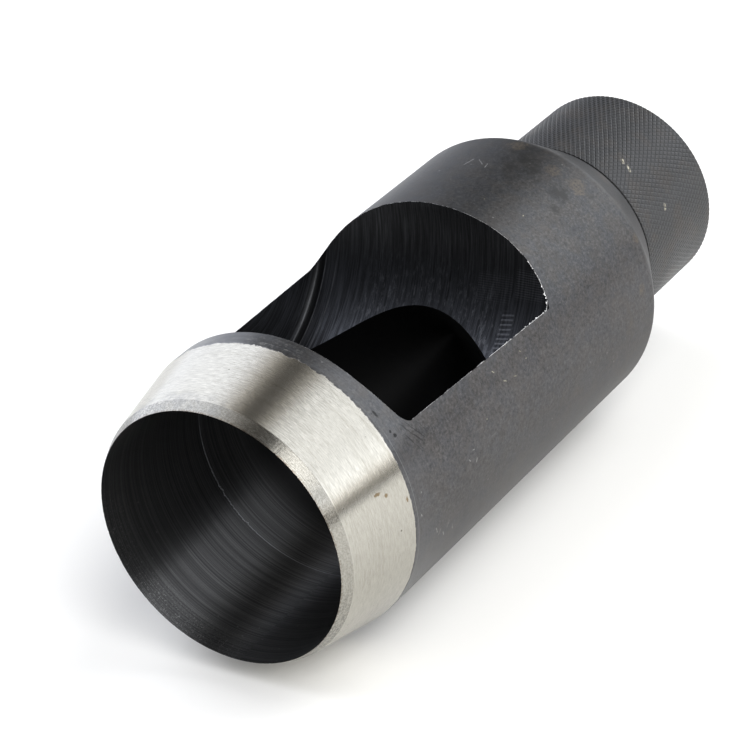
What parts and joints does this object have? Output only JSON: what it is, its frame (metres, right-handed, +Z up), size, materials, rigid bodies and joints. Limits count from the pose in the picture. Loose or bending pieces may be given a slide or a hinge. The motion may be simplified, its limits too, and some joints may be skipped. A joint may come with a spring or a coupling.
{
  "type": "drive hole punch",
  "caption": "Hollow steel drive punch lying on its side: sharpened tubular head with a milled slug window, and a knurled handle to strike.",
  "frame": {"origin": "on the surface that the punch lies on, under the middle of its length", "axes": "+X along the punch from the cutting edge to the struck end, +Z up, out through the middle of the window"},
  "size_m": [0.149, 0.0582, 0.0582],
  "materials": {
    "blackened_steel": "satin",
    "knurled_steel": "satin"
  },
  "bodies": {
    "root": {"punch_head": "blackened_steel", "knurled_handle": "knurled_steel"}
  },
  "joints": []
}
